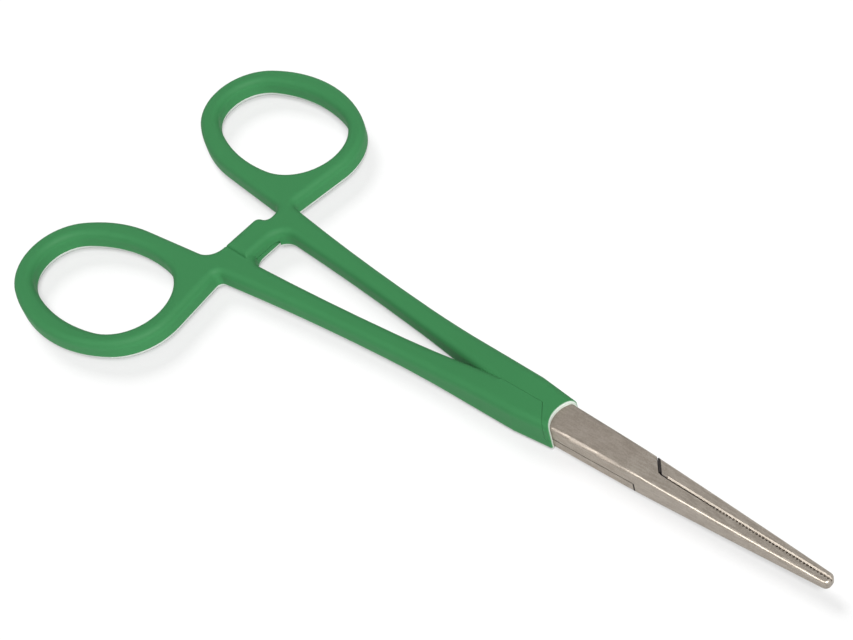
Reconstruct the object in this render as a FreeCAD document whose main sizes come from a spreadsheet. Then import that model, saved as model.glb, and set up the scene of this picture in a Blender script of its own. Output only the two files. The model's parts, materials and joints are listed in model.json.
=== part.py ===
import FreeCAD, Part
import math
import os
import Sketcher
from FreeCAD import Placement, Rotation, Vector

# Hemostatic forceps, straight, about 140 mm long, with green coated handles.
# Everything is drawn with the pivot at the origin, X towards the tip, Z up, and the
# handle of the half that is drawn on the +Y side. Both halves are the same forging:
# the bottom half is turned half a turn about X.

os.makedirs("parts", exist_ok=True)
doc = FreeCAD.newDocument("hemostatic_forceps")

# Driving dimensions, in millimetres and degrees. Lengths along X are measured from the pivot.
SIZES = [
    ("jaw_length", 37.1),
    ("pivot_to_ring", 86.1),
    ("ring_offset", 20.5),
    ("ring_tilt", -5.0),
    ("hole_length", 27.9),
    ("hole_width", 18.9),
    ("hole_hub_radius", 9.1),
    ("hole_far_radius", 7.5),
    ("ring_end_wall", 1.8),
    ("ring_side_wall", 1.925),
    ("ring_hub_radius", 10.1),
    ("ring_far_radius", 9.3),
    ("handle_thickness", 2.7),
    ("handle_bevel", 0.45),
    ("joint_thickness", 4.4),
    ("coat", 0.7),
    ("coat_rounding", 1.2),
    ("coat_end_rounding", 0.25),
    ("arm_ahead_of_ring", 12.85),
    ("arm_width", 3.85),
    ("arm_reach", 3.3),
    ("arm_root_radius", 3.5),
    ("arm_corner_radius", 0.3),
    ("top_root_step", 1.9),
    ("bottom_root_step", 0.0),
    ("root_step_y", 4.65),
    ("root_inner_radius", 1.7),
    ("root_outer_radius", 0.6),
    ("web_edge_y", 7.5),
    ("top_web_radius", 2.7),
    ("bottom_web_radius", 3.6),
    ("neck_radius", 1.8),
    ("neck_lean", 6.5),
    ("handle_end_behind", 7.0),
    ("handle_end_half_width", 2.45),
    ("shank_start_ahead_of_ring", 19.1),
    ("shank_start_y", 7.3),
    ("shank_mid_behind", 40.7),
    ("shank_mid_y", 4.5),
    ("shank_end_behind", 13.5),
    ("shank_end_y", 3.15),
    ("gap_start_y", 4.4),
    ("gap_start_ahead", 1.6),
    ("gap_mid_y", 2.64),
    ("crotch_behind", 17.0),
    ("taper_start_behind", 37.5),
    ("taper_end_behind", 12.5),
    ("joint_half_width", 2.65),
    ("joint_start_behind", 9.5),
    ("jaw_mid_ahead", 10.5),
    ("jaw_mid_half_width", 2.06),
    ("tip_half_width", 0.95),
    ("tip_half_height", 0.8),
    ("tip_radius", 0.8),
    ("jaw_taper_ahead", 7.2),
    ("jaw_taper_radius", 60.0),
    ("edge_rounding", 0.45),
    ("inner_bevel", 0.35),
    ("lap_gap", 0.1),
    ("lap_drop", 0.25),
    ("seam_gap", 0.04),
    ("upper_shoulder_gap", 0.45),
    ("lower_shoulder_gap", 0.2),
    ("rear_shoulder_gap", 0.06),
    ("top_shoulder_ahead", 7.7),
    ("bottom_shoulder_ahead", 6.7),
    ("shoulder_outer_y", 2.35),
    ("shoulder_slant", 2.15),
    ("shoulder_corner_radius", 0.8),
    ("rear_shoulder_outer_behind", 8.3),
    ("rear_shoulder_inner_behind", 10.4),
    ("coat_end_behind", 7.95),
    ("coat_end_radius", 4.2),
    ("serration_start", 18.7),
    ("serration_pitch", 0.519),
    ("serration_width", 0.365),
    ("serration_depth", 0.2),
    ("serration_tip_land", 0.2),
    ("relief_depth", 0.1),
    ("rivet_radius", 1.0),
    ("rivet_flare", 0.2),
    ("rivet_head_depth", 0.5),
    ("rivet_clearance", 0.04),
    ("arm_side_room", 0.5),
    ("arm_end_room", 0.12),
    ("tooth_pitch", 1.4),
    ("tooth_count", 3),
    ("tooth_depth", 0.45),
    ("tooth_land", 0.2),
    ("tooth_end_land", 0.5),
    ("tooth_gap", 0.1),
]
sheet = doc.addObject("Spreadsheet::Sheet", "sizes")
for row, (alias, value) in enumerate(SIZES, start=1):
    sheet.set("A%d" % row, alias)
    sheet.set("B%d" % row, str(value))
    sheet.setAlias("B%d" % row, alias)
doc.recompute()


class Values:
    """The sheet's cells, read by name."""

    def __getattr__(self, alias):
        return float(sheet.get(alias))


v = Values()
REACH = 60.0          # past everything in length and height, for cutting tools
SIDE_REACH = 10.0     # past the joint's sides and faces
OVERLAP = 1.0         # how far a cutting tool starts outside the piece
SKIM = 0.01           # keeps a tool's face off the face that it leaves alone


def point(x, y, z=0.0):
    return Vector(x, y, z)


def turned(x, y, angle):
    """The point (x, y) turned about the origin by an angle in degrees."""
    c, s = math.cos(math.radians(angle)), math.sin(math.radians(angle))
    return c * x - s * y, s * x + c * y


def line(a, b):
    return Part.LineSegment(point(*a), point(*b))


def arc3(a, b, c):
    return Part.Arc(point(*a), point(*b), point(*c))


def polygon(corners):
    return [line(a, b) for a, b in zip(corners, corners[1:] + corners[:1])]


def grown(edges, distance):
    """A closed outline offset outwards, its sharp corners kept sharp."""
    if distance == 0:
        return edges
    wire = Part.Wire([edge.toShape() for edge in edges])
    result = []
    for edge in wire.makeOffset2D(distance, join=2).Edges:
        first, last = edge.FirstParameter, edge.LastParameter
        start, middle, end = (edge.valueAt(first + (last - first) * k) for k in (0.0, 0.5, 1.0))
        if isinstance(edge.Curve, Part.Line):
            result.append(Part.LineSegment(start, end))
        else:
            result.append(Part.Arc(start, middle, end))
    return result


# Document helpers

def origin_plane(body, role):
    return next(f for f in body.Origin.OriginFeatures if f.Role == role)


def sketch_on(body, name, edges, role="XY_Plane", height=0.0):
    """A sketch on one of the body's own planes, lifted by height."""
    sketch = body.newObject("Sketcher::SketchObject", name)
    sketch.AttachmentSupport = (origin_plane(body, role), [""])
    sketch.MapMode = "FlatFace"
    sketch.AttachmentOffset = Placement(Vector(0, 0, height), Rotation())
    sketch.addGeometry(edges, False)
    return sketch


def pad(body, name, sketch, length, midplane=True, reversed_=False):
    feature = body.newObject("PartDesign::Pad", name)
    feature.Profile = sketch
    feature.Midplane = midplane
    feature.Reversed = reversed_
    if isinstance(length, str):
        feature.setExpression("Length", length)
    else:
        feature.Length = length
    return feature


def pocket_through(body, name, sketch):
    feature = body.newObject("PartDesign::Pocket", name)
    feature.Profile = sketch
    feature.Type = "ThroughAll"
    feature.Midplane = True
    return feature


def fillet(body, name, base, edge_names, radius):
    feature = body.newObject("PartDesign::Fillet", name)
    feature.Base = (base, edge_names)
    feature.setExpression("Radius", radius)
    doc.recompute()
    return feature


def chamfer(body, name, base, edge_names, size):
    feature = body.newObject("PartDesign::Chamfer", name)
    feature.Base = (base, edge_names)
    feature.setExpression("Size", size)
    doc.recompute()
    return feature


def edges_where(shape, test):
    return ["Edge%d" % (i + 1) for i, edge in enumerate(shape.Edges) if test(edge)]


def is_upright(edge):
    ends = [vertex.Point for vertex in edge.Vertexes]
    if len(ends) != 2:
        return False
    return math.hypot(ends[0].x - ends[1].x, ends[0].y - ends[1].y) < 1e-6


def upright_near(shape, x, y):
    """The name of the upright edge nearest to a plan position."""
    best = min(
        (i for i, edge in enumerate(shape.Edges) if is_upright(edge)),
        key=lambda i: math.hypot(shape.Edges[i].CenterOfMass.x - x, shape.Edges[i].CenterOfMass.y - y),
    )
    return "Edge%d" % (best + 1)


def middle_of(edge):
    return edge.valueAt((edge.FirstParameter + edge.LastParameter) / 2)


def is_rim(shape, edge):
    """True for an edge between an upright side and the upper or the lower face."""
    place = middle_of(edge)
    slopes = []
    for face in shape.ancestorsOfType(edge, Part.Face):
        u, w = face.Surface.parameter(place)
        slopes.append(abs(face.normalAt(u, w).z))
    return len(slopes) == 2 and min(slopes) < 0.1 and max(slopes) > 0.7


def lies_over(edge, wire):
    """True when both ends and the middle of an edge lie over a wire drawn in the XY plane."""
    first, last = edge.ParameterRange
    return all(
        Part.Vertex(place.x, place.y, 0).distToShape(wire)[0] < 1e-4
        for place in (edge.valueAt(first + (last - first) * k) for k in (0.05, 0.5, 0.95))
    )


def boolean(kind, name, first, second):
    feature = doc.addObject(kind, name)
    feature.Base = first
    feature.Tool = second
    feature.Refine = True
    return feature


def block(name, edges, low, high, role="XY_Plane"):
    """A body with one straight pad of an outline, from low to high along the plane's normal."""
    body = doc.addObject("PartDesign::Body", name)
    sketch = sketch_on(body, name + "_outline", edges, role, low)
    pad(body, name + "_pad", sketch, high - low, midplane=False)
    return body


def turning(name, corners):
    """A body turned about the Z axis from corners in X and Z."""
    body = doc.addObject("PartDesign::Body", name)
    sketch = sketch_on(body, name + "_section", polygon(corners), "XZ_Plane")
    feature = body.newObject("PartDesign::Revolution", name + "_turned")
    feature.Profile = sketch
    feature.ReferenceAxis = (sketch, ["V_Axis"])
    feature.Angle = 360.0
    return body


def tangent_corner(before, corner, after, radius):
    """An arc that rounds a corner between two straight lines: its first, middle and last point."""
    ax, ay = before[0] - corner[0], before[1] - corner[1]
    bx, by = after[0] - corner[0], after[1] - corner[1]
    a_length, b_length = math.hypot(ax, ay), math.hypot(bx, by)
    ax, ay, bx, by = ax / a_length, ay / a_length, bx / b_length, by / b_length
    half = math.acos(ax * bx + ay * by) / 2
    run = radius / math.tan(half)
    middle_x, middle_y = (ax + bx) / 2, (ay + by) / 2
    size = math.hypot(middle_x, middle_y)
    reach = radius / math.sin(half) - radius
    return (
        (corner[0] + ax * run, corner[1] + ay * run),
        (corner[0] + middle_x / size * reach, corner[1] + middle_y / size * reach),
        (corner[0] + bx * run, corner[1] + by * run),
    )


# Outlines in plan

def oval(length, width, hub_radius, far_radius, outward=0.0):
    """Four arcs of a tilted oval about the ring's centre, counter-clockwise from its right end.

    The end towards the pivot and the far end have radii of their own, and each side is one arc
    tangent to both. Each arc is its centre, radius, first angle and last angle."""
    hub, far, b = length / 2 - hub_radius, length / 2 - far_radius, width / 2
    lean = (hub_radius - far_radius) / (hub + far)
    reach = hub + lean * length / 2
    fall = lean * reach + b - hub_radius
    square = reach ** 2 + b ** 2 - hub_radius ** 2
    side = square / (fall + math.sqrt(fall ** 2 - lean ** 2 * square))
    middle = lean * (side - length / 2)
    right = math.degrees(math.atan2(side - b, hub - middle))
    left = 180 - math.degrees(math.atan2(side - b, far + middle))
    arcs = []
    for dx, dy, radius, first, last in (
        (hub, 0, hub_radius, -right, right),
        (middle, b - side, side, right, left),
        (-far, 0, far_radius, left, 360 - left),
        (middle, side - b, side, 360 - left, 360 - right),
    ):
        dx, dy = turned(dx, dy, v.ring_tilt)
        arcs.append((dx - v.pivot_to_ring, dy + v.ring_offset, radius + outward,
                     first + v.ring_tilt, last + v.ring_tilt))
    return arcs


def hole_arcs(outward):
    return oval(v.hole_length, v.hole_width, v.hole_hub_radius, v.hole_far_radius, outward)


def ring_arcs(outward):
    length, width = v.hole_length + 2 * v.ring_end_wall, v.hole_width + 2 * v.ring_side_wall
    return oval(length, width, v.ring_hub_radius, v.ring_far_radius, outward)


def on_circle(cx, cy, radius, angle):
    return (
        cx + radius * math.cos(math.radians(angle)),
        cy + radius * math.sin(math.radians(angle)),
    )


def circle_arc(cx, cy, radius, first, last):
    return arc3(*(on_circle(cx, cy, radius, first + (last - first) * k) for k in (0.0, 0.5, 1.0)))


def crossing(p, d, q, e):
    """Where the line through p along d meets the line through q along e."""
    cross = d[0] * e[1] - d[1] * e[0]
    k = ((q[0] - p[0]) * e[1] - (q[1] - p[1]) * e[0]) / cross
    return p[0] + k * d[0], p[1] + k * d[1]


def step_curve(start, height, radius_a, radius_b):
    """Two arcs that lead down from start and move the edge sideways to -X by height."""
    turn = math.acos(1 - height / (radius_a + radius_b))
    x, y = start
    first = arc3(
        start,
        (x - radius_a * (1 - math.cos(turn / 2)), y - radius_a * math.sin(turn / 2)),
        (x - radius_a * (1 - math.cos(turn)), y - radius_a * math.sin(turn)),
    )
    end = (x - height, y - (radius_a + radius_b) * math.sin(turn))
    second = arc3(
        (x - radius_a * (1 - math.cos(turn)), y - radius_a * math.sin(turn)),
        (end[0] + radius_b * (1 - math.cos(turn / 2)), end[1] + radius_b * math.sin(turn / 2)),
        end,
    )
    return [first, second], end


def handle_outline(root_step, web_radius):
    """Outer outline of ring, web, ratchet arm and shank, with sharp corners where fillets come.

    It also returns those corners, each with its plan position and its radius in the steel."""
    right, top, left, bottom = ring_arcs(0.0)
    # the neck, a leaning line that leaves the ring's right end
    neck_angle = -v.neck_lean
    neck_top = on_circle(*right[:3], neck_angle)
    neck_way = turned(0.0, -1.0, neck_angle)
    shank_start = (v.shank_start_ahead_of_ring - v.pivot_to_ring, v.shank_start_y)
    shank_mid = (-v.shank_mid_behind, v.shank_mid_y)
    shank_end = (-v.shank_end_behind, v.shank_end_y)
    joint_end = (-v.handle_end_behind, v.handle_end_half_width)
    outer_arc = arc3(shank_start, shank_mid, shank_end)
    start_way = outer_arc.tangent(outer_arc.FirstParameter)[0]
    neck_corner = crossing(neck_top, neck_way, shank_start, (start_way.x, start_way.y))
    # the web's free edge, a tangent to the ring's lower side
    arm_left = v.arm_ahead_of_ring - v.pivot_to_ring
    arm_right = arm_left + v.arm_width
    root_left = arm_left + root_step
    cx, cy, radius = bottom[:3]
    dx, dy = root_left - cx, v.web_edge_y - cy
    tangent_angle = math.degrees(math.atan2(dy, dx) - math.acos(radius / math.hypot(dx, dy)))
    web_start = on_circle(cx, cy, radius, tangent_angle)
    web_corner = (root_left, v.web_edge_y)
    step, step_start, step_end = [], web_corner, web_corner
    if root_step > 0:
        step_start = (root_left, v.root_step_y)
        step, step_end = step_curve(step_start, root_step, v.root_inner_radius, v.root_outer_radius)
        step = [line(web_corner, step_start)] + step
    arm_end_left = (arm_left, -v.arm_reach)
    arm_end_right = (arm_right, -v.arm_reach)
    # the gap side of the shank; the arm's right edge is carried up to it
    gap_start = (shank_start[0] + v.gap_start_ahead, v.gap_start_y)
    gap_mid = (-v.shank_mid_behind, v.gap_mid_y)
    crotch = (-v.crotch_behind, v.seam_gap / 2)
    circle = arc3(gap_start, gap_mid, crotch).toShape().Curve
    side = 1.0 if v.gap_mid_y > circle.Center.y else -1.0
    rise = math.sqrt(circle.Radius ** 2 - (arm_right - circle.Center.x) ** 2)
    arm_corner = (arm_right, circle.Center.y + side * rise)
    far_side = (shank_end[0], -shank_end[1])
    joint_low = (joint_end[0], -joint_end[1])
    edges = [
        line(joint_low, joint_end),
        line(joint_end, shank_end),
        arc3(shank_end, shank_mid, shank_start),
        line(shank_start, neck_corner),
        line(neck_corner, neck_top),
        circle_arc(*right[:3], neck_angle, right[4]),
        circle_arc(*top),
        circle_arc(*left),
        circle_arc(*bottom[:3], bottom[3], tangent_angle % 360),
        line(web_start, web_corner),
    ] + step + [
        line(step_end, arm_end_left),
        line(arm_end_left, arm_end_right),
        line(arm_end_right, arm_corner),
        arc3(arm_corner, gap_mid, crotch),
        line(crotch, far_side),
        line(far_side, joint_low),
    ]
    hollows = [
        ("neck", neck_corner, v.neck_radius),
        ("web", web_corner, web_radius),
        ("arm_root", arm_corner, v.arm_root_radius),
    ]
    return edges, hollows, [arm_end_left, arm_end_right]


def thickness_profile(extra):
    """Upper line of the handle's side view, from the ring to the joint, as edges in X and Z."""
    low = v.handle_thickness / 2 + extra
    high = v.joint_thickness / 2 + extra
    start, end = -v.taper_start_behind, -v.taper_end_behind
    rise, run = high - low, end - start
    half_turn = math.atan2(rise, run)
    radius = run / (2 * math.sin(2 * half_turn))
    middle = ((start + end) / 2, (low + high) / 2)
    bend_x, bend_z = radius * math.sin(half_turn), radius * (1 - math.cos(half_turn))
    far_left = -v.pivot_to_ring - REACH
    return [
        line((far_left, low), (start, low)),
        arc3((start, low), (start + bend_x, low + bend_z), middle),
        arc3(middle, (end - bend_x, high - bend_z), (end, high)),
        line((end, high), (REACH, high)),
    ]


def mirrored_z(edges):
    return [Part.LineSegment(point(e.StartPoint.x, -e.StartPoint.y), point(e.EndPoint.x, -e.EndPoint.y))
            if isinstance(e, Part.LineSegment) else
            arc3(*((p.x, -p.y) for p in (e.value(e.FirstParameter),
                                         e.value((e.FirstParameter + e.LastParameter) / 2),
                                         e.value(e.LastParameter))))
            for e in edges]


def closed_above(edges, height):
    """The profile closed over the top, for the cut above the handle."""
    first, last = edges[0].StartPoint, edges[-1].EndPoint
    return edges + [
        line((last.x, last.y), (last.x, height)),
        line((last.x, height), (first.x, height)),
        line((first.x, height), (first.x, first.y)),
    ]


# The handle, bare or with the coat's thickness all round

def handle(name, coated, root_step, web_radius):
    """Ring, web, arm, shank and the start of the joint. The bare steel's rims are bevelled, and
    the coated handle's are round."""
    extra = v.coat if coated else 0.0
    edges, hollows, arm_end = handle_outline(root_step, web_radius)
    body = doc.addObject("PartDesign::Body", name)
    outline = sketch_on(body, name + "_outline", grown(edges, extra))
    pad(body, name + "_blank", outline, "sizes.joint_thickness + 2 * sizes.coat")
    hole_edges = [circle_arc(*arc) for arc in hole_arcs(-extra)]
    hole = sketch_on(body, name + "_hole_outline", hole_edges)
    pocket_through(body, name + "_finger_hole", hole)
    profile = thickness_profile(extra)
    for place, edge_list in (
        ("above", closed_above(profile, REACH)),
        ("below", closed_above(mirrored_z(profile), -REACH)),
    ):
        side = sketch_on(body, name + "_side_view_" + place, edge_list, "XZ_Plane")
        base = pocket_through(body, name + "_thinned_" + place, side)
    doc.recompute()
    for corner, place, radius in hollows:
        edge = upright_near(base.Shape, *place)
        base = fillet(body, name + "_" + corner, base, [edge], str(radius - extra))
    hole_wire = Part.Wire([edge.toShape() for edge in hole_edges])
    hole_rims = edges_where(base.Shape, lambda e: is_rim(base.Shape, e) and lies_over(e, hole_wire))
    if coated:
        base = fillet(body, name + "_hole_rounded", base, hole_rims, "sizes.coat_rounding")
    else:
        base = chamfer(body, name + "_hole_bevelled", base, hole_rims, "sizes.handle_bevel")
    end_x = -v.handle_end_behind + extra

    def is_kept_sharp(edge):
        """The end face, and the slanted edge that the other half's room takes away later."""
        place = middle_of(edge)
        slanted = -v.crotch_behind - OVERLAP < place.x < -v.shank_end_behind - SKIM and place.y < 0
        return slanted or place.x > end_x - SKIM

    shape = base.Shape
    rims = edges_where(shape, lambda e: is_rim(shape, e) and not is_kept_sharp(e)
                       and not lies_over(e, hole_wire))
    if coated:
        base = fillet(body, name + "_rounded", base, rims, "sizes.coat_rounding")
    else:
        base = chamfer(body, name + "_bevelled", base, rims, "sizes.handle_bevel")
    for number, (x, y) in enumerate(arm_end, start=1):
        corner = upright_near(base.Shape, x + math.copysign(extra, number - 1.5), y - extra)
        base = fillet(body, "%s_arm_end_%d" % (name, number), base, [corner], "sizes.arm_corner_radius")
    if coated:
        radius = v.coat_end_radius
        centre = radius - v.coat_end_behind
        end_edges = [
            arc3((centre, radius), (centre - radius, 0), (centre, -radius)),
            line((centre, -radius), (REACH, -radius)),
            line((REACH, -radius), (REACH, radius)),
            line((REACH, radius), (centre, radius)),
        ]
        end_sketch = sketch_on(body, name + "_end_outline", end_edges)
        base = pocket_through(body, name + "_end", end_sketch)
        doc.recompute()
        end_wire = Part.Wire([end_edges[0].toShape()])
        rims = edges_where(base.Shape, lambda e: lies_over(e, end_wire))
        fillet(body, name + "_end_rounded", base, rims, "sizes.coat_end_rounding")
    return body


# The joint's block and the jaws, before the two halves are parted

def jaw_height(x):
    """Height of the jaws' upper face above the middle plane, ahead of the joint."""
    fall = (v.joint_thickness / 2 - v.tip_half_height) / (v.jaw_length - v.jaw_taper_ahead)
    return v.joint_thickness / 2 - fall * (x - v.jaw_taper_ahead)


def jaws(name):
    start = -v.joint_start_behind
    half_width, half_height = v.joint_half_width, v.joint_thickness / 2
    middle = (v.jaw_mid_ahead, v.jaw_mid_half_width)
    tip = (v.jaw_length, v.tip_half_width)
    body = doc.addObject("PartDesign::Body", name)
    outline = sketch_on(body, name + "_outline", [
        line((start, -half_width), (start, half_width)),
        arc3((start, half_width), middle, tip),
        line(tip, (tip[0], -tip[1])),
        arc3((tip[0], -tip[1]), (middle[0], -middle[1]), (start, -half_width)),
    ])
    base = pad(body, name + "_blank", outline, "sizes.joint_thickness")
    far = (REACH, jaw_height(REACH))
    arc = tangent_corner((start, half_height), (v.jaw_taper_ahead, half_height), far, v.jaw_taper_radius)
    for place, sign in (("above", 1), ("below", -1)):
        corners = [arc[0], arc[2], far, (REACH, REACH), (arc[0][0], REACH)]
        corners = [(x, sign * z) for x, z in corners]
        edges = [arc3(corners[0], (arc[1][0], sign * arc[1][1]), corners[1])]
        edges += [line(a, b) for a, b in zip(corners[1:], corners[2:] + corners[:1])]
        side = sketch_on(body, name + "_side_view_" + place, edges, "XZ_Plane")
        base = pocket_through(body, name + "_thinned_" + place, side)
    doc.recompute()
    tip_edges = edges_where(base.Shape, lambda e: is_upright(e) and middle_of(e).x > tip[0] - SKIM)
    base = fillet(body, name + "_tip", base, tip_edges, "sizes.tip_radius")
    shape = base.Shape
    rims = edges_where(shape, lambda e: is_rim(shape, e) and middle_of(e).x > start + SKIM)
    fillet(body, name + "_rounded", base, rims, "sizes.edge_rounding")
    return body


# The room that the other half takes, as blocks to be cut away. The top half keeps the upper
# layer between the shoulders, its own handle side behind them and the lower jaw ahead of them.

def along(a, b, y):
    """The point at height y on the line through a and b."""
    k = (y - a[1]) / (b[1] - a[1])
    return a[0] + (b[0] - a[0]) * k, y


def rear_shoulder():
    return (-v.rear_shoulder_inner_behind, v.seam_gap / 2), (-v.rear_shoulder_outer_behind, -v.joint_half_width)


def front_shoulder(ahead):
    return (ahead + v.shoulder_slant, -v.seam_gap / 2), (ahead, v.shoulder_outer_y)


def room_back():
    """How far back the two handles' sides still touch the seam between them."""
    return v.shank_start_ahead_of_ring - v.pivot_to_ring + 2 * v.gap_start_ahead


def upper_rooms(name, shoulder, lap):
    """What is cut away above the lap plane, behind and ahead of this half's own layer."""
    seam = v.seam_gap / 2
    rear_in, rear_out = rear_shoulder()
    front_in, front_out = front_shoulder(shoulder)
    rear = polygon([
        along(rear_in, rear_out, -SIDE_REACH), (room_back(), -REACH), (room_back(), seam), rear_in,
    ])
    corner = tangent_corner((REACH, -seam), front_in, front_out, v.shoulder_corner_radius)
    ends = [corner[2], along(front_in, front_out, SIDE_REACH), (REACH, SIDE_REACH), (REACH, -seam), corner[0]]
    front = [arc3(*corner)] + [line(a, b) for a, b in zip(ends, ends[1:])]
    return [block(name + "_upper_rear_room", rear, lap, REACH), block(name + "_upper_front_room", front, lap, REACH)]


def lower_room(name, shoulder, front_gap, lap):
    """The other half's layer below the lap plane, turned over, with a gap at both shoulders."""
    seam = v.seam_gap / 2
    rear_in, rear_out = rear_shoulder()
    rear_in, rear_out = (rear_in[0] - v.rear_shoulder_gap, seam), (rear_out[0] - v.rear_shoulder_gap, -rear_out[1])
    front_in, front_out = front_shoulder(shoulder + front_gap)
    front_out = (front_out[0], -front_out[1])
    corner = tangent_corner((REACH, -seam), front_in, front_out, v.shoulder_corner_radius)
    points = [
        corner[2], along(front_in, front_out, -SIDE_REACH), (room_back(), -SIDE_REACH), (room_back(), seam),
        rear_in, along(rear_in, rear_out, SIDE_REACH), (REACH, SIDE_REACH), (REACH, -seam), corner[0],
    ]
    edges = [line(a, b) for a, b in zip(points, points[1:])] + [arc3(*corner)]
    return block(name + "_lower_room", edges, -REACH, lap + v.lap_gap / 2)


def arm_room():
    """Under the web of this half passes the coated arm of the other one."""
    left = v.arm_ahead_of_ring - v.pivot_to_ring - v.coat - v.arm_side_room
    right = left + v.arm_width + 2 * (v.coat + v.arm_side_room)
    top = v.arm_reach + v.coat + v.arm_end_room
    edges = polygon([(left, -SIDE_REACH), (right, -SIDE_REACH), (right, top), (left, top)])
    return block("arm_room_below", edges, -REACH, v.tooth_gap / 2)


def grip_start():
    """Where the clamping faces begin, clear of the shoulders' round corners."""
    return v.top_shoulder_ahead + v.shoulder_slant + v.upper_shoulder_gap + v.shoulder_corner_radius


def serrations():
    """Grooves across the clamping face, aligned in both jaws, behind them a shallow relief."""
    face = -v.seam_gap / 2
    half = v.serration_width / 2
    slope = half / v.serration_depth
    count = int((v.jaw_length - v.serration_tip_land - v.serration_start) / v.serration_pitch)
    corners = [
        (grip_start(), OVERLAP),
        (grip_start(), face - v.relief_depth),
        (v.serration_start - v.relief_depth, face - v.relief_depth),
        (v.serration_start, 0.0),
    ]
    for k in range(count):
        x = v.serration_start + v.serration_pitch * (k + 0.5)
        corners += [(x + slope * face - half, 0.0), (x, face - v.serration_depth), (x - slope * face + half, 0.0)]
    corners += [(corners[-1][0] + SKIM, OVERLAP)]
    return block("serration_cutter", polygon(corners), -SIDE_REACH, SIDE_REACH)


def inner_bevel():
    """The bevel along the clamping face's edge, on the side that comes from the lower layer."""
    face, size = -v.seam_gap / 2, v.inner_bevel
    edges = polygon([
        (face - size - OVERLAP, -OVERLAP), (face + OVERLAP, -OVERLAP), (face + OVERLAP, size + OVERLAP),
    ])
    body = block("inner_bevel_cutter", edges, 0.0, REACH, "YZ_Plane")
    height = jaw_height(grip_start())
    angle = math.degrees(math.atan2(height - jaw_height(v.jaw_length), v.jaw_length - grip_start()))
    body.Placement = Placement(Vector(grip_start(), 0, -height), Rotation(Vector(0, 1, 0), -angle))
    return body


def ratchet_teeth():
    """Saw teeth in the arm's lower face, steep towards its end."""
    low = v.tooth_gap / 2
    first = v.tooth_end_land - v.arm_reach
    corners = []
    for k in range(int(v.tooth_count)):
        y = first + k * v.tooth_pitch
        corners += [(y, low - SKIM), (y, low + v.tooth_depth), (y + v.tooth_pitch - v.tooth_land, low - SKIM)]
    corners += [(corners[-1][0], -OVERLAP), (first, -OVERLAP)]
    start = v.arm_ahead_of_ring - v.pivot_to_ring - OVERLAP
    return block("tooth_cutter", polygon(corners), start, start + v.arm_width + 2 * OVERLAP, "YZ_Plane")


def rivet_side(clearance):
    """Outer line of the rivet's half section above the middle, countersunk at the joint's face."""
    radius = v.rivet_radius + clearance
    top = v.joint_thickness / 2
    return [(radius, top - v.rivet_head_depth), (radius + v.rivet_flare, top)]


def bore(name, clearance):
    (radius, shoulder), (head, top) = rivet_side(clearance)
    return turning(name, [
        (0.0, -SIDE_REACH), (radius, -SIDE_REACH), (radius, shoulder), (head, top), (head, SIDE_REACH),
        (0.0, SIDE_REACH),
    ])


def cut_all(name, base, tools):
    for number, tool in enumerate(tools, start=1):
        base = boolean("Part::Cut", "%s_cut_%d" % (name, number), base, tool)
    return base


# One half: steel and coat, drawn with the pivot at the origin

shared_arm_room = arm_room()
grip_cutters = [serrations(), inner_bevel(), ratchet_teeth()]
doc.recompute()


def half(name, rooms, root_step, web_radius, rivet_clearance):
    rooms = rooms + [shared_arm_room]
    rivet_hole = bore(name + "_bore", rivet_clearance)
    steel_handle = handle(name + "_handle", False, root_step, web_radius)
    jaw_block = jaws(name + "_jaws")
    blank = boolean("Part::Fuse", name + "_blank", steel_handle, jaw_block)
    steel = cut_all(name, blank, rooms + grip_cutters + [rivet_hole])
    coated = handle(name + "_coated", True, root_step, web_radius)
    coat = cut_all(name + "_coating", coated, rooms + [blank])
    doc.recompute()
    return steel, coat


top_rooms = upper_rooms("top", v.top_shoulder_ahead, -v.lap_drop)
top_rooms.append(lower_room("top", v.bottom_shoulder_ahead, v.lower_shoulder_gap, -v.lap_drop))
bottom_rooms = upper_rooms("bottom", v.bottom_shoulder_ahead, v.lap_drop)
bottom_rooms.append(lower_room("bottom", v.top_shoulder_ahead, v.upper_shoulder_gap, v.lap_drop))
top_half, top_coat = half("top_half", top_rooms, v.top_root_step, v.top_web_radius, 0.0)
bottom_half, bottom_coat = half(
    "bottom_half", bottom_rooms, v.bottom_root_step, v.bottom_web_radius, v.rivet_clearance)
side = rivet_side(0.0)
lower_side = [(x, -z) for x, z in reversed(side)]
rivet = turning("pivot_rivet", [(0.0, lower_side[0][1])] + lower_side + side + [(0.0, side[-1][1])])

# Placing: the origin under the middle of the whole, X towards the tip
ring_left = ring_arcs(v.coat)[2]
ring_end = ring_left[0] - ring_left[2]
shift = Vector(-(ring_end + v.jaw_length) / 2, 0, v.joint_thickness / 2 + v.coat)
upright = Placement(shift, Rotation())
turned_over = Placement(shift, Rotation(Vector(1, 0, 0), 180))
NODES = [
    ("top_half", top_half, upright),
    ("bottom_half", bottom_half, turned_over),
    ("pivot_rivet", rivet, upright),
    ("top_half_coating", top_coat, upright),
    ("bottom_half_coating", bottom_coat, turned_over),
]
for node, feature, placement in NODES:
    feature.Label = node
    feature.Placement = placement
doc.recompute()

for item in doc.Objects:
    if "Invalid" in item.State or "Error" in item.State:
        raise RuntimeError("%s did not compute: %s" % (item.Name, item.State))
for node, feature, placement in NODES:
    if feature.Shape.isNull() or not feature.Shape.isValid() or len(feature.Shape.Solids) != 1:
        raise RuntimeError("%s is not one valid solid" % node)
    feature.Shape.exportStep("parts/%s.step" % node)
    print(node, round(feature.Shape.Volume, 1), feature.Shape.BoundBox)
print("pivot at", shift)
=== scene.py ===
"""Hemostatic forceps with green coated handles, lying closed on a white surface."""

import json
import math

import bpy
from mathutils import Matrix, Vector


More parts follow.
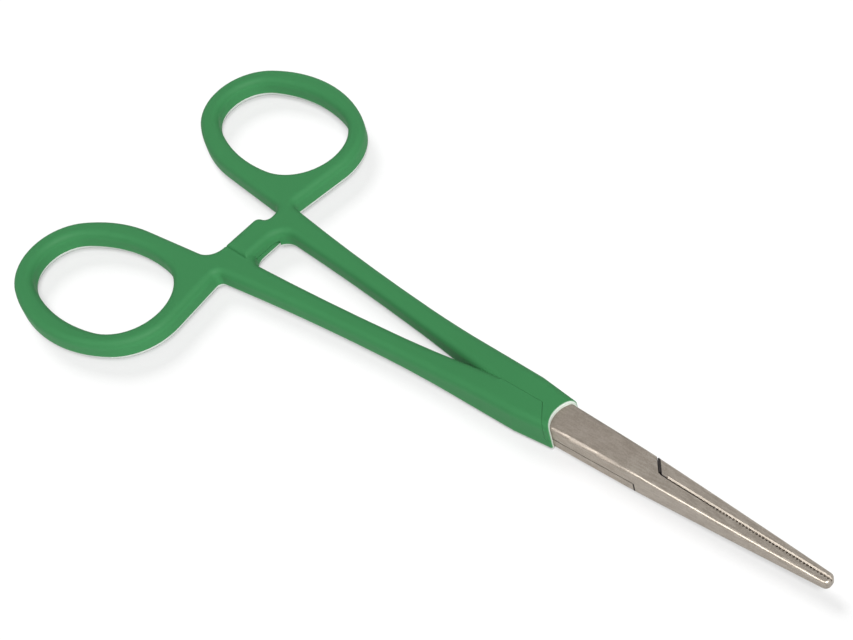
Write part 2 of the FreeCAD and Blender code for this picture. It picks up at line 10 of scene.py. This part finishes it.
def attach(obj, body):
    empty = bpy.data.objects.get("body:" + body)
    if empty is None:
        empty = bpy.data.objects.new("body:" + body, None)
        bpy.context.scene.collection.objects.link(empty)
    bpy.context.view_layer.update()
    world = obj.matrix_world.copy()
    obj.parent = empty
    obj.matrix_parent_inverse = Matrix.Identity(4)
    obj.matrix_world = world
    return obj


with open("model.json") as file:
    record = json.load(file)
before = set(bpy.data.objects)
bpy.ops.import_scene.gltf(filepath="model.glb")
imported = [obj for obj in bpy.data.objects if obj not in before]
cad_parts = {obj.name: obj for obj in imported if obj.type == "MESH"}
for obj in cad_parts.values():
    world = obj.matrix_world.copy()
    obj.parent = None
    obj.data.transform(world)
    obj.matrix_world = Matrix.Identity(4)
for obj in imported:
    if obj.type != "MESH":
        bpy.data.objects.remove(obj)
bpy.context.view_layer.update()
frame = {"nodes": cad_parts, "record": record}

MM = 0.001
PIVOT = Vector(frame["record"]["behaviour"]["joints"][0]["pos_m"])
WHITE = (1.0, 1.0, 1.0)
BLACK = (0.0, 0.0, 0.0)

# The coat's end on the joint is an arc about this point, with a highlight painted in a band around it
COAT_END_CENTRE = PIVOT + Vector((-3.75, 0.0, 0.0)) * MM
COAT_END_RADIUS = 4.2 * MM
COAT_END_BAND = 0.2 * MM

# The lap joint. Its far side is the one at +Y, where the front gap lies above the lap, and its near
# side the one at -Y, where it lies below. A shoulder is given by its distance ahead of the pivot at
# the middle line, from which it falls back 2.15 mm over its 2.35 mm across, and a gap by its width
# along X
LAP_HEIGHT = 2.65 * MM
SHOULDER_SLANT = 2.15 / 2.35
FAR_SHOULDER, FAR_GAP = 9.84 * MM, 0.47 * MM
NEAR_SHOULDER, NEAR_GAP = 8.83 * MM, 0.23 * MM

# The lines of painted shade: half the width of the lap's seam and of the line between the jaws, how
# soft their edges are, how far the painted shade reaches past the far gap, and where the jaws' line
# starts, where it ends and over what length it fades there
SEAM_HALF, JAW_SEAM_HALF = 0.07 * MM, 0.09 * MM
SEAM_BLUR = 0.03 * MM
GAP_FRINGE = 0.16 * MM
JAW_SEAM_START, JAW_SEAM_END = PIVOT.x + 10.2 * MM, PIVOT.x + 18.7 * MM
JAW_SEAM_FADE = 1.0 * MM

# The step in the far gap: its reach in Y and in Z, its room to the shoulder, and its rounding
STEP_INNER, STEP_OUTER = 0.40 * MM, 2.08 * MM
STEP_FOOT, STEP_TOP = 2.67 * MM, 4.80 * MM
STEP_ROOM = 0.09 * MM
STEP_ROUNDING = 0.04 * MM


class Output:
    """A node's output; an expression on one that carries a number adds Math nodes."""

    def __init__(self, finish, socket):
        self.finish, self.socket = finish, socket

    def math(self, operation, *values):
        return self.finish.node("ShaderNodeMath", {"operation": operation}, dict(enumerate(values)))

    def __add__(self, other):
        return self.math("ADD", self, other)

    def __sub__(self, other):
        return self.math("SUBTRACT", self, other)

    def __mul__(self, other):
        return self.math("MULTIPLY", self, other)

    __radd__ = __add__
    __rmul__ = __mul__

    def __rsub__(self, other):
        return self.math("SUBTRACT", other, self)

    def larger(self, other):
        return self.math("MAXIMUM", self, other)

    def unsigned(self):
        return self.math("ABSOLUTE", self)

    def ramp(self, zero_at, one_at):
        """0 at one value and beyond it, 1 at the other, smooth between; either may be the larger."""
        sockets = {"Value": self, "From Min": zero_at, "From Max": one_at}
        return self.finish.node("ShaderNodeMapRange", {"interpolation_type": "SMOOTHSTEP"}, sockets)


class Finish:
    """The nodes of a material, or of the world, written as expressions."""

    def __init__(self, owner):
        owner.use_nodes = True
        self.owner, self.tree = owner, owner.node_tree

    def put(self, socket, value):
        """Sets a socket to a number, vector or colour, or links a node's output to it."""
        if isinstance(value, Output):
            self.tree.links.new(value.socket, socket)
        elif socket.type == "RGBA":
            socket.default_value = (*value, 1.0)
        else:
            socket.default_value = value

    def node(self, kind, settings, sockets, output=0):
        """Adds a node of a kind, sets it up, fills its sockets and returns one of its outputs."""
        made = self.tree.nodes.new(kind)
        for name, value in settings.items():
            setattr(made, name, value)
        for name, value in sockets.items():
            self.put(made.inputs[name], value)
        return Output(self, made.outputs[output])

    def surface(self, **sockets):
        """Sets the sockets of the surface shader, named with underscores for spaces."""
        for name, value in sockets.items():
            self.put(self.tree.nodes["Principled BSDF"].inputs[name.replace("_", " ")], value)

    def place(self, stretch=(1.0, 1.0, 1.0)):
        """The object's own coordinates, stretched."""
        own = self.node("ShaderNodeTexCoord", {}, {}, "Object")
        return self.node("ShaderNodeMapping", {}, {"Vector": own, "Scale": stretch})

    def part(self, axis, vector):
        return self.node("ShaderNodeSeparateXYZ", {}, {"Vector": vector}, axis)

    def facing_up(self):
        """How far the surface faces up: 1 on a top, 0 on a wall, -1 underneath."""
        return self.part("Z", self.node("ShaderNodeNewGeometry", {}, {}, "Normal"))

    def noise(self, scale, detail=2.0, stretch=(1.0, 1.0, 1.0)):
        sockets = {"Vector": self.place(stretch), "Scale": scale, "Detail": detail}
        return self.node("ShaderNodeTexNoise", {"noise_dimensions": "3D"}, sockets, "Fac")

    def blend(self, share, first, second):
        """A colour between two: the first at share 0, the second at 1."""
        # The node has sockets of the same names for numbers, so those for colours go by their place
        first_colour, second_colour, mixed_colour = 6, 7, 2
        sockets = {"Factor": share, first_colour: first, second_colour: second}
        return self.node("ShaderNodeMix", {"data_type": "RGBA"}, sockets, mixed_colour)

    def bump(self, height, depth, strength):
        sockets = {"Height": height, "Distance": depth, "Strength": strength}
        return self.node("ShaderNodeBump", {}, sockets)

    def ray(self, kind):
        return self.node("ShaderNodeLightPath", {}, {}, kind)

    def seen(self, in_gloss=1.0):
        """1 for what the camera sees, a share in reflections and clear pieces, 0 for the light cast."""
        gloss = self.ray("Is Glossy Ray").larger(self.ray("Is Transmission Ray"))
        return self.ray("Is Camera Ray").larger(in_gloss * gloss)


# The coat's colours: its green, a deeper one that clouds it, a lighter one painted on its sides as
# light that evens out their shade, and a pale one painted as a highlight on its cut end and as a
# reflection of the white floor on its lower rims
COAT_GREEN = (0.0465, 0.230, 0.080)
COAT_GREEN_DEEP = (0.043, 0.216, 0.074)
COAT_GREEN_SIDE_PAINTED_LIGHT = (0.057, 0.280, 0.098)
COAT_PAINTED_PALE = (0.90, 0.94, 0.90)
CUT_END_HIGHLIGHT_SHARE, FLOOR_REFLECTION_SHARE = 0.8, 0.95

# How far a face turns up where the light painted on the sides and the floor's reflection painted on the
# lower rims start and are full, and where that reflection starts to fade towards the flat underside,
# which is green again
SIDE_START, SIDE_FULL = 0.6, 0.0
RIM_START, RIM_FULL = -0.02, -0.12
RIM_FADES, RIM_GONE = -0.75, -0.98

# The scales of the coat's cloudy, smeared and pebbled patterns, its roughness and what the smears add
# to it, its shine, and the pebbles' depth
CLOUD_SCALE, SMEAR_SCALE, PEBBLE_SCALE = 90.0, 500.0, 1400.0
COAT_ROUGHNESS, SMEAR_ROUGHNESS = 0.55, 0.10
COAT_SHINE = 0.18
PEBBLE_DEPTH, PEBBLE_STRENGTH = 0.01 * MM, 0.35


def coat_finish():
    """Dipped satin plastic in an even green, with painted light: lighter sides, a floor reflection
    underneath, a highlight on its cut end.
    """
    finish = Finish(bpy.data.materials.new("green_plastic_coat"))
    from_centre = finish.part("X", finish.place()) - COAT_END_CENTRE.x
    across = finish.part("Y", finish.place())
    radius = from_centre.math("SQRT", from_centre * from_centre + across * across)
    # A pale highlight painted in a band along the coat's cut end
    cut_end_highlight = radius.ramp(COAT_END_RADIUS + COAT_END_BAND, COAT_END_RADIUS)
    up = finish.facing_up()
    # A pale reflection of the white floor painted where the coat turns under
    floor_reflection = up.ramp(RIM_START, RIM_FULL) * up.ramp(RIM_GONE, RIM_FADES)
    green = finish.blend(finish.noise(CLOUD_SCALE), COAT_GREEN_DEEP, COAT_GREEN)
    # Light painted on the sides, which makes them lighter than the top to even out their shade
    green = finish.blend(up.ramp(SIDE_START, SIDE_FULL), green, COAT_GREEN_SIDE_PAINTED_LIGHT)
    painted_pale = (FLOOR_REFLECTION_SHARE * floor_reflection).larger(CUT_END_HIGHLIGHT_SHARE * cut_end_highlight)
    finish.surface(
        Base_Color=finish.blend(painted_pale, green, COAT_PAINTED_PALE),
        Roughness=COAT_ROUGHNESS + SMEAR_ROUGHNESS * finish.noise(SMEAR_SCALE),
        Normal=finish.bump(finish.noise(PEBBLE_SCALE), PEBBLE_DEPTH, PEBBLE_STRENGTH),
        Specular_IOR_Level=COAT_SHINE,
    )
    return finish.owner


# The painted shade of the seam shows on walls only: how far a wall may lean before it fades, and where
# it has gone
SEAM_WALL_FULL, SEAM_WALL_GONE = 0.3, 0.5


def painted_seam_shade(finish):
    """1 in the joint's seam, in its two front gaps and between the jaws, where dark shade is painted on
    the steel.
    """
    x, y, z = (finish.part(axis, finish.place()) for axis in "XYZ")
    ahead = x - PIVOT.x + SHOULDER_SLANT * y.unsigned()
    above = z.ramp(LAP_HEIGHT - SEAM_BLUR, LAP_HEIGHT)
    far = y.ramp(-SEAM_BLUR, SEAM_BLUR)
    near = 1.0 - far

    def behind(line):
        return ahead.ramp(line + SEAM_BLUR, line)

    def in_gap(shoulder, width):
        return ahead.ramp(shoulder - SEAM_BLUR, shoulder) * behind(shoulder + width)

    far_gap = far * above * in_gap(FAR_SHOULDER, FAR_GAP + GAP_FRINGE)
    near_gap = near * (1.0 - above) * in_gap(NEAR_SHOULDER, NEAR_GAP)

    wall = finish.facing_up().unsigned().ramp(SEAM_WALL_GONE, SEAM_WALL_FULL)
    at_lap = (z - LAP_HEIGHT).unsigned().ramp(SEAM_HALF + SEAM_BLUR, SEAM_HALF)
    seam = wall * (far * behind(FAR_SHOULDER) + near * behind(NEAR_SHOULDER)) * at_lap

    between_jaws = y.unsigned().ramp(JAW_SEAM_HALF + SEAM_BLUR, JAW_SEAM_HALF)
    along_jaws = x.ramp(JAW_SEAM_START - SEAM_BLUR, JAW_SEAM_START)
    along_jaws *= x.ramp(JAW_SEAM_END + JAW_SEAM_FADE, JAW_SEAM_END)
    return far_gap.larger(near_gap).larger(seam).larger(between_jaws * along_jaws)


# The steel's colours: its two tones, the shade painted on the joint's top, and the dark shade painted
# in its seams
STEEL = (0.328, 0.286, 0.241)
STEEL_LIGHT = (0.442, 0.396, 0.343)
STEEL_TOP_SHADE = (0.170, 0.144, 0.122)
STEEL_SEAM_SHADE = (0.020, 0.016, 0.014)

# The grinding marks, drawn out along X, the specks and the broad patches: their scales and details,
# their shares in the tone, the sums at which the tone is the darker and the lighter one, the shares
# in the relief, and its depth
GRAIN_SCALE, GRAIN_DETAIL, GRAIN_STRETCH = 3400.0, 4.0, (0.16, 1.0, 1.0)
SPECK_SCALE, SPECK_DETAIL = 5200.0, 2.0
PATCH_SCALE, PATCH_DETAIL = 420.0, 3.0
GRAIN_TONE, SPECK_TONE, PATCH_TONE = 0.50, 0.35, 0.15
TONE_LOW, TONE_HIGH = 0.36, 0.64
GRAIN_RELIEF, SPECK_RELIEF = 0.6, 0.4
RELIEF_DEPTH, RELIEF_STRENGTH = 0.02 * MM, 0.30

# The steel's roughness and what its grain, the painted shade of its seams and the joint add
STEEL_ROUGHNESS = 0.28
GRAIN_ROUGHNESS, SEAM_SHADE_ROUGHNESS, JOINT_ROUGHNESS = 0.16, 0.3, 0.20

# The joint is dull up to one place, and the jaws are polished from another on. Then the share of the
# shade painted on the joint's top, and how far a face of the joint turns up where that shade starts and
# is full
JOINT_DULL, JAWS_POLISHED = PIVOT.x + 3.0 * MM, PIVOT.x + 9.0 * MM
TOP_SHADE_SHARE = 0.34
TOP_SHADE_START, TOP_SHADE_FULL = 0.1, 0.5


def steel_finish():
    """Satin stainless steel, ground lengthways and rougher on the joint, with shade painted on the
    joint's top and in its seams.
    """
    finish = Finish(bpy.data.materials.new("satin_steel"))
    grain = finish.noise(GRAIN_SCALE, GRAIN_DETAIL, GRAIN_STRETCH)
    speck = finish.noise(SPECK_SCALE, SPECK_DETAIL)
    patch = finish.noise(PATCH_SCALE, PATCH_DETAIL)
    tone = GRAIN_TONE * grain + SPECK_TONE * speck + PATCH_TONE * patch
    satin = finish.blend(tone.ramp(TONE_LOW, TONE_HIGH), STEEL, STEEL_LIGHT)
    joint = finish.part("X", finish.place()).ramp(JAWS_POLISHED, JOINT_DULL)
    # Shade painted on the joint's top, which makes it darker than its sides
    top_shade = TOP_SHADE_SHARE * joint * finish.facing_up().ramp(TOP_SHADE_START, TOP_SHADE_FULL)
    # Dark shade painted in the seam, the gaps and the line between the jaws
    seam_shade = painted_seam_shade(finish)
    roughness = STEEL_ROUGHNESS + GRAIN_ROUGHNESS * grain
    relief = GRAIN_RELIEF * grain + SPECK_RELIEF * speck
    finish.surface(
        Base_Color=finish.blend(seam_shade, finish.blend(top_shade, satin, STEEL_TOP_SHADE), STEEL_SEAM_SHADE),
        Metallic=1.0 - seam_shade,
        Roughness=roughness + SEAM_SHADE_ROUGHNESS * seam_shade + JOINT_ROUGHNESS * joint,
        Normal=finish.bump(relief, RELIEF_DEPTH, RELIEF_STRENGTH),
    )
    return finish.owner


def dress(node, material):
    """Gives a CAD piece one material all over."""
    mesh = frame["nodes"][node].data
    mesh.materials.clear()
    mesh.materials.append(material)
    for face in mesh.polygons:
        face.material_index = 0


def make_gap_step(material):
    """The step on the jaw's back end that closes the far gap below its mouth; the shade painted in the
    gap makes it dark.
    """
    turn = math.atan(SHOULDER_SLANT)
    middle = (STEP_INNER + STEP_OUTER) / 2
    ahead = FAR_SHOULDER + (FAR_GAP + STEP_ROOM) / 2
    thickness = (FAR_GAP - STEP_ROOM) * math.cos(turn)
    reach = (STEP_OUTER - STEP_INNER) / math.cos(turn)
    bpy.ops.object.select_all(action="DESELECT")
    bpy.ops.mesh.primitive_cube_add(
        size=1.0,
        location=(PIVOT.x + ahead - SHOULDER_SLANT * middle, middle, (STEP_FOOT + STEP_TOP) / 2),
        rotation=(0.0, 0.0, turn),
        scale=(thickness, reach, STEP_TOP - STEP_FOOT),
    )
    step = bpy.context.object
    step.name = "shoulder_step"
    bpy.ops.object.transform_apply(location=True, rotation=True, scale=True)
    bpy.ops.object.mode_set(mode="EDIT")
    bpy.ops.mesh.select_all(action="SELECT")
    bpy.ops.mesh.bevel(offset=STEP_ROUNDING, segments=2)
    bpy.ops.object.mode_set(mode="OBJECT")
    step.data.materials.append(material)
    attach(step, "bottom")


# The floor: its size, its colour where it is seen, the even glow that makes it white there, its colour
# as it lights the object from below, and how much of its seen look the gloss shows
FLOOR_SIZE = 6000.0 * MM
FLOOR_SEEN = (0.29, 0.29, 0.29)
FLOOR_GLOW = (0.56, 0.56, 0.56)
FLOOR_BOUNCE = (0.40, 0.40, 0.40)
FLOOR_IN_GLOSS = 0.86
FLOOR_ROUGHNESS = 0.9


def make_floor():
    """A white floor, a little darker in the object's shadow."""
    bpy.ops.object.select_all(action="DESELECT")
    bpy.ops.mesh.primitive_plane_add(size=FLOOR_SIZE, location=(0.0, 0.0, 0.0))
    floor = bpy.context.object
    floor.name = "floor"
    finish = Finish(bpy.data.materials.new("white_surface"))
    seen = finish.seen(FLOOR_IN_GLOSS)
    finish.surface(
        Base_Color=finish.blend(seen, FLOOR_BOUNCE, FLOOR_SEEN),
        Emission_Color=finish.blend(seen, BLACK, FLOOR_GLOW),
        Emission_Strength=1.0,
        Roughness=FLOOR_ROUGHNESS,
        Specular_IOR_Level=0.0,
    )
    floor.data.materials.append(finish.owner)
    return floor


# The lamps: the direction that each one stands in, its light on a surface that faces it, where 1
# shows a colour as it is written, and its width in degrees
KEY_WAY, KEY_LEVEL, KEY_WIDTH = (0.537, -0.239, 0.809), 1.02, 20.0
SHADOW_WAY, SHADOW_LEVEL, SHADOW_WIDTH = (-0.66, 0.24, 0.71), 0.90, 30.0


def sun(name, way, level, width):
    """A lamp far away in one direction."""
    lamp = bpy.data.lights.new(name, "SUN")
    lamp.energy = level * math.pi
    lamp.angle = math.radians(width)
    holder = bpy.data.objects.new(name, lamp)
    bpy.context.scene.collection.objects.link(holder)
    holder.rotation_mode = "QUATERNION"
    holder.rotation_quaternion = Vector(way).to_track_quat("Z", "Y")
    return holder


def make_lights(floor):
    """A broad lamp high on the camera's side, and one that only throws the floor's faint shadow."""
    sun("key", KEY_WAY, KEY_LEVEL, KEY_WIDTH)
    shadow = sun("shadow", SHADOW_WAY, SHADOW_LEVEL, SHADOW_WIDTH)
    floor_only = bpy.data.collections.new("floor_only")
    floor_only.objects.link(floor)
    shadow.light_linking.receiver_collection = floor_only


# The sky: its light on the object, how bright it looks at the horizon, and how much less overhead
SKY_LEVEL = 0.18
SKY_SEEN, SKY_FALL = 1.0, 0.30

# A softbox that only the gloss shows: its direction, the light that it adds, where 1 is white, and
# the cosines of the angles from its middle where it starts to fade and has gone
SOFTBOX_WAY, SOFTBOX_LEVEL = (-0.22, -0.70, 0.68), 6.5
SOFTBOX_FULL, SOFTBOX_GONE = math.cos(math.radians(4.0)), math.cos(math.radians(20.0))


def make_sky():
    """Even light; what is seen of it, also in the steel, is white at the horizon, greyer above."""
    world = bpy.data.worlds.new("studio")
    bpy.context.scene.world = world
    sky = Finish(world)
    way = sky.node("ShaderNodeTexCoord", {}, {}, "Generated")
    height = sky.part("Z", way).larger(0.0)
    towards = {0: way, 1: Vector(SOFTBOX_WAY).normalized()}
    nearness = sky.node("ShaderNodeVectorMath", {"operation": "DOT_PRODUCT"}, towards, "Value")
    softbox = nearness.ramp(SOFTBOX_GONE, SOFTBOX_FULL)
    seen = sky.seen()
    level = seen * (SKY_SEEN - SKY_FALL * height) + (1.0 - seen) * SKY_LEVEL
    level += SOFTBOX_LEVEL * softbox * sky.ray("Is Glossy Ray")
    background = world.node_tree.nodes["Background"]
    sky.put(background.inputs["Color"], WHITE)
    sky.put(background.inputs["Strength"], level)


# The camera: its place in millimetres, the directions that it looks in and that lie to its right, its
# lens and sensor in millimetres, and the distances in metres between which it sees
CAMERA_PLACE = (144.65, -98.3, 201.6)
CAMERA_VIEW = (-0.5545, 0.3794, -0.7407)
CAMERA_RIGHT = (0.72, 0.6649, -0.1985)
CAMERA_LENS, CAMERA_SENSOR = 75.95, 36.0
CAMERA_SEES_FROM, CAMERA_SEES_TO = 0.01, 20.0


def make_camera():
    camera = bpy.data.cameras.new("camera")
    camera.lens, camera.sensor_width = CAMERA_LENS, CAMERA_SENSOR
    camera.clip_start, camera.clip_end = CAMERA_SEES_FROM, CAMERA_SEES_TO
    holder = bpy.data.objects.new("camera", camera)
    bpy.context.scene.collection.objects.link(holder)
    view = Vector(CAMERA_VIEW).normalized()
    up = Vector(CAMERA_RIGHT).cross(view).normalized()
    turn = Matrix((view.cross(up), up, -view)).transposed().to_4x4()
    holder.matrix_world = Matrix.Translation(Vector(CAMERA_PLACE) * MM) @ turn
    bpy.context.scene.camera = holder


steel = steel_finish()
coat = coat_finish()
for node in ("top_half", "bottom_half", "pivot_rivet"):
    dress(node, steel)
for node in ("top_half_coating", "bottom_half_coating"):
    dress(node, coat)
make_gap_step(steel)

make_lights(make_floor())
make_sky()
make_camera()
bpy.context.scene.view_settings.view_transform = "Standard"
